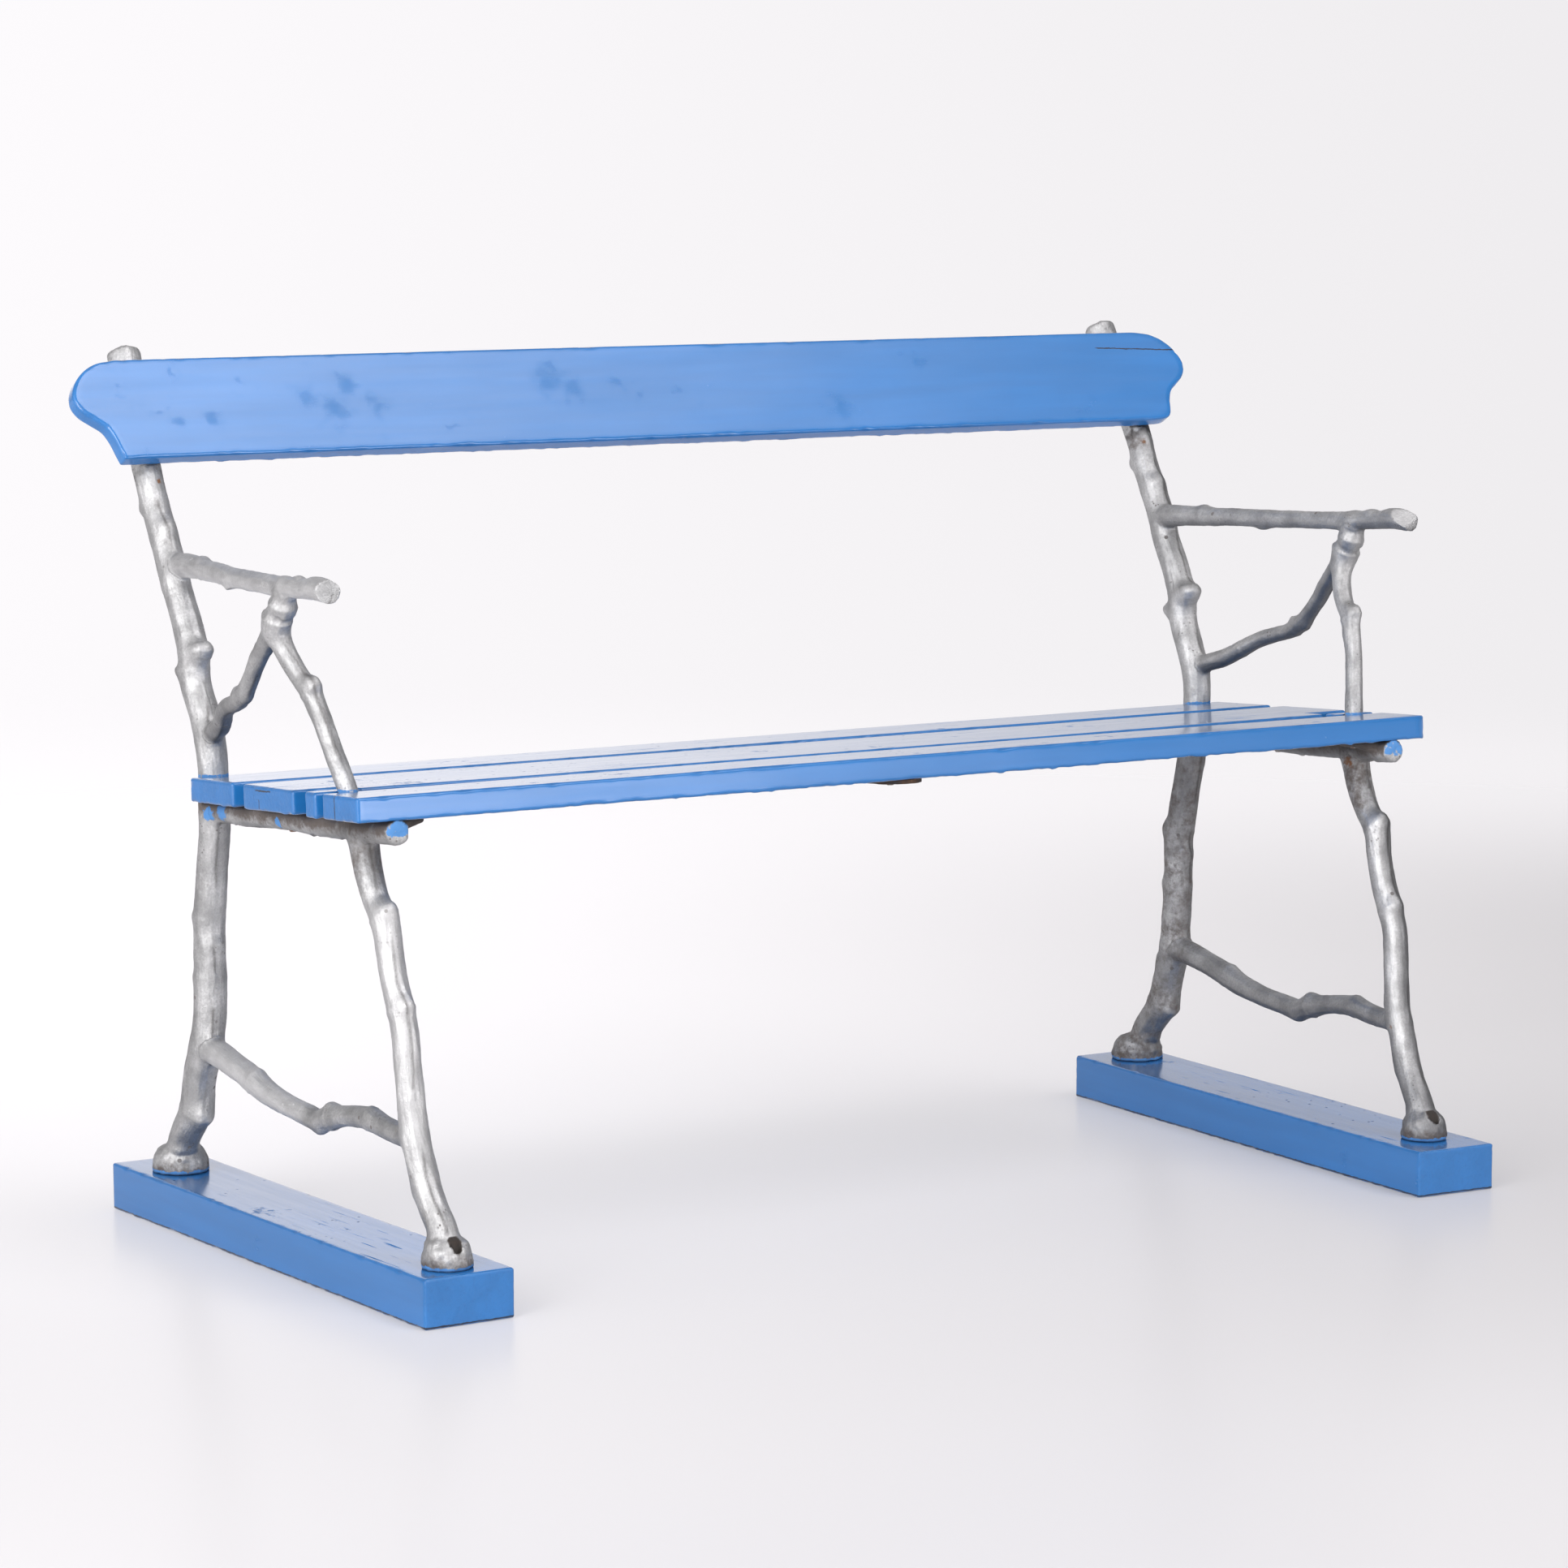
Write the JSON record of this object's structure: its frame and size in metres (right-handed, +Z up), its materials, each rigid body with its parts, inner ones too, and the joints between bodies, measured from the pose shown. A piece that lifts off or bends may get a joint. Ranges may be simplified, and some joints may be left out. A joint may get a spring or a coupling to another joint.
{
  "type": "park bench",
  "caption": "Rustic park bench with branch-shaped cast iron end frames on timber foot planks, a slatted timber seat and a leaning back rail.",
  "frame": {"origin": "on the ground below the middle of the bench, midway between the two end frames", "axes": "+Z up, +X along the bench to the sitter's left, -Y towards the sitter's knees"},
  "size_m": [1.369, 0.7167, 0.8889],
  "materials": {
    "silver_iron": "aluminium paint over a rough casting, worn and dirty",
    "blue_paint": "satin gloss brush paint on timber, chipped and scuffed",
    "rusty_iron": "rusted flat bar",
    "screw_iron": "dull weathered steel"
  },
  "bodies": {
    "root": {"left_end_frame": "silver_iron", "right_end_frame": "silver_iron", "left_foot_plank": "blue_paint", "right_foot_plank": "blue_paint", "back_rail": "blue_paint", "rear_seat_board": "blue_paint", "middle_seat_board": "blue_paint", "front_seat_board": "blue_paint", "left_filler_block": "blue_paint", "right_filler_block": "blue_paint", "centre_strap": "rusty_iron", "foot_screws": "screw_iron", "seat_screws": "screw_iron", "rail_screws": "screw_iron", "strap_screws": "screw_iron"}
  },
  "joints": []
}
